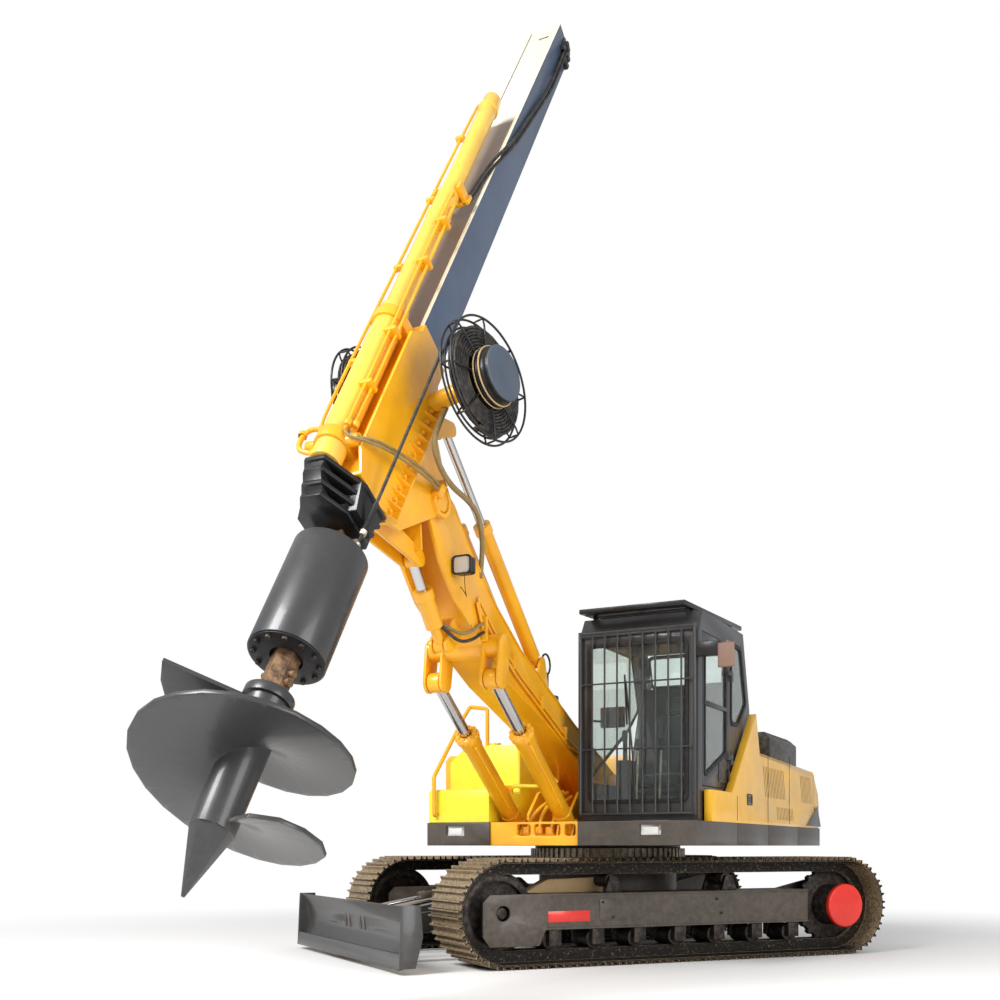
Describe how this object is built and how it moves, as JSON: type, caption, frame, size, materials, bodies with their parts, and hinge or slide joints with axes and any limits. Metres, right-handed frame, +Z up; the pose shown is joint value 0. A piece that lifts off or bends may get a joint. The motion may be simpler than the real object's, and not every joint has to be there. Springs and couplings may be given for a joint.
{
  "type": "rotary piling rig",
  "caption": "Crawler-mounted rotary piling rig: luffing boom, tilting guide with sliding mast, power head and screw auger, cab, engine house and dozer blade.",
  "frame": {"origin": "on the ground, on the vertical axis about which the upper part turns", "axes": "+X forward over the boom, +Y to the operator's left, +Z up; the tracks stand 38 degrees to the right of +X, as in the picture"},
  "size_m": [8.9073, 5.0683, 7.7918],
  "materials": {
    "boom_yellow": "gloss",
    "body_yellow": "gloss",
    "ram_yellow": "gloss",
    "taupe_frame": "satin",
    "track_steel": "worn",
    "black_paint": "satin",
    "cab_grey": "satin",
    "red_paint": "gloss",
    "drill_grey": "satin",
    "mast_blue": "satin",
    "rod_chrome": "polished",
    "bare_steel": "brushed",
    "hose_rubber": "matt",
    "seat_cover": "woven",
    "engine_iron": "painted",
    "lamp_lens": "polished"
  },
  "bodies": {
    "crawler": {"carbody": "taupe_frame", "slew_ring": "bare_steel", "track_frame_left": "taupe_frame", "track_frame_right": "taupe_frame", "track_left": "track_steel", "track_right": "track_steel", "rollers_left": "track_steel", "rollers_right": "track_steel", "idler_left": "track_steel", "idler_right": "track_steel", "sprocket_left": "track_steel", "sprocket_right": "track_steel", "drive_cover_left": "red_paint", "drive_cover_right": "red_paint"},
    "blade": {"blade": "drill_grey"},
    "blade_barrels": {"blade_barrels": "taupe_frame"},
    "blade_rods": {"blade_rods": "rod_chrome"},
    "upper": {"deck": "taupe_frame", "boom_base": "boom_yellow", "counterweight": "body_yellow", "house_left": "body_yellow", "house_right": "body_yellow", "engine": "engine_iron", "bulkhead": "body_yellow", "intake_cover": "cab_grey", "tank": "body_yellow", "toolbox": "body_yellow", "handrail": "boom_yellow", "cab": "cab_grey", "front_guard": "cab_grey", "roof_guard": "black_paint", "seat": "seat_cover", "console": "black_paint", "mirror": "body_yellow", "skirt_lamps": "lamp_lens"},
    "hood": {"hood": "body_yellow"},
    "cab_door": {"cab_door": "cab_grey"},
    "boom": {"boom": "boom_yellow", "work_lamp": "black_paint"},
    "lift_barrels": {"lift_barrels": "boom_yellow"},
    "lift_rods": {"lift_rods": "rod_chrome"},
    "rear_tilt_barrels": {"rear_tilt_barrels": "boom_yellow"},
    "rear_tilt_rods": {"rear_tilt_rods": "rod_chrome"},
    "front_tilt_barrel": {"front_tilt_barrel": "boom_yellow"},
    "front_tilt_rod": {"front_tilt_rod": "rod_chrome"},
    "guide": {"guide": "boom_yellow", "crowd_barrel": "ram_yellow"},
    "reel_left": {"reel_left": "black_paint", "hose_coil_left": "hose_rubber"},
    "reel_right": {"reel_right": "black_paint", "hose_coil_right": "hose_rubber"},
    "mast": {"mast": "mast_blue", "mast_nose": "black_paint", "crowd_rod": "rod_chrome"},
    "kelly": {"kelly_bar": "bare_steel", "power_head": "drill_grey"},
    "auger": {"drive_stub": "bare_steel", "auger": "drill_grey"}
  },
  "joints": [
    {"name": "slew", "type": "hinge", "parent": "crawler", "child": "upper", "pos_m": [0, 0, 0], "axis": [0, 0, 1], "continuous": true},
    {"name": "blade_lift", "type": "hinge", "parent": "crawler", "child": "blade", "pos_m": [0.88257, -0.68954, 0.45], "axis": [-0.6157, -0.788, 0], "range_deg": [-4, 16]},
    {"name": "blade_ram_swing", "type": "hinge", "parent": "crawler", "child": "blade_barrels", "pos_m": [0.83529, -0.6526, 0.65], "axis": [-0.6157, -0.788, 0], "range_deg": [-8, 24]},
    {"name": "blade_ram_slide", "type": "slide", "parent": "blade_barrels", "child": "blade_rods", "axis": [0.7754, -0.6058, -0.1782], "range_m": [-0.15, 0.06]},
    {"name": "boom_lift", "type": "hinge", "parent": "upper", "child": "boom", "pos_m": [0.25, 0, 1.5], "axis": [0, -1, 0], "range_deg": [-10, 15]},
    {"name": "lift_ram_swing", "type": "hinge", "parent": "upper", "child": "lift_barrels", "pos_m": [1.48, 0, 1.13], "axis": [0, -1, 0], "range_deg": [-20, 28]},
    {"name": "lift_ram_slide", "type": "slide", "parent": "lift_barrels", "child": "lift_rods", "axis": [0.8, 0, 0.6], "range_m": [-0.25, 0.36]},
    {"name": "mast_tilt", "type": "hinge", "parent": "boom", "child": "guide", "pos_m": [3.62, 0, 3.27], "axis": [0, 1, 0], "range_deg": [-10, 36]},
    {"name": "rear_tilt_swing", "type": "hinge", "parent": "boom", "child": "rear_tilt_barrels", "pos_m": [1.85, 0, 2.44], "axis": [0, 1, 0], "range_deg": [-6, 12]},
    {"name": "rear_tilt_slide", "type": "slide", "parent": "rear_tilt_barrels", "child": "rear_tilt_rods", "axis": [0.7357, 0, 0.6773], "range_m": [-0.2, 0.5]},
    {"name": "front_tilt_swing", "type": "hinge", "parent": "boom", "child": "front_tilt_barrel", "pos_m": [3.24, 0, 2.38], "axis": [0, 1, 0], "range_deg": [-24, 10]},
    {"name": "front_tilt_slide", "type": "slide", "parent": "front_tilt_barrel", "child": "front_tilt_rod", "axis": [0.6097, 0, 0.7926], "range_m": [-0.12, 0.06]},
    {"name": "crowd", "type": "slide", "parent": "guide", "child": "mast", "axis": [0.549, 0, -0.8358], "range_m": [0, 3]},
    {"name": "kelly_feed", "type": "slide", "parent": "mast", "child": "kelly", "axis": [0.549, 0, -0.8358], "range_m": [0, 2.4]},
    {"name": "auger_turn", "type": "hinge", "parent": "kelly", "child": "auger", "pos_m": [5.91, 0, 0.72], "axis": [-0.549, 0, 0.8358], "continuous": true},
    {"name": "hose_reel_left", "type": "hinge", "parent": "guide", "child": "reel_left", "pos_m": [3.79626, 0.665, 3.93786], "axis": [0.1652, 0.9803, 0.1085], "continuous": true},
    {"name": "hose_reel_right", "type": "hinge", "parent": "guide", "child": "reel_right", "pos_m": [3.72489, -0.4, 4.04651], "axis": [0, 1, 0], "continuous": true},
    {"name": "cab_door_swing", "type": "hinge", "parent": "upper", "child": "cab_door", "pos_m": [0.61, 1.352, 1.5], "axis": [0, 0, 1], "range_deg": [0, 95]},
    {"name": "hood_lift", "type": "hinge", "parent": "upper", "child": "hood", "pos_m": [-0.175, 0, 1.81], "axis": [0, 1, 0], "range_deg": [0, 60]}
  ],
  "couplings": [
    {"joint": "blade_ram_swing", "follows": "blade_lift", "ratio": 1.05},
    {"joint": "blade_ram_slide", "follows": "blade_lift", "m_per_rad": -0.25},
    {"joint": "lift_ram_swing", "follows": "boom_lift", "ratio": 1.38},
    {"joint": "lift_ram_slide", "follows": "boom_lift", "m_per_rad": 1.06},
    {"joint": "rear_tilt_swing", "follows": "mast_tilt", "ratio": 0.13},
    {"joint": "rear_tilt_slide", "follows": "mast_tilt", "m_per_rad": 0.54},
    {"joint": "front_tilt_swing", "follows": "mast_tilt", "ratio": -0.52},
    {"joint": "front_tilt_slide", "follows": "mast_tilt", "m_per_rad": -0.13}
  ]
}
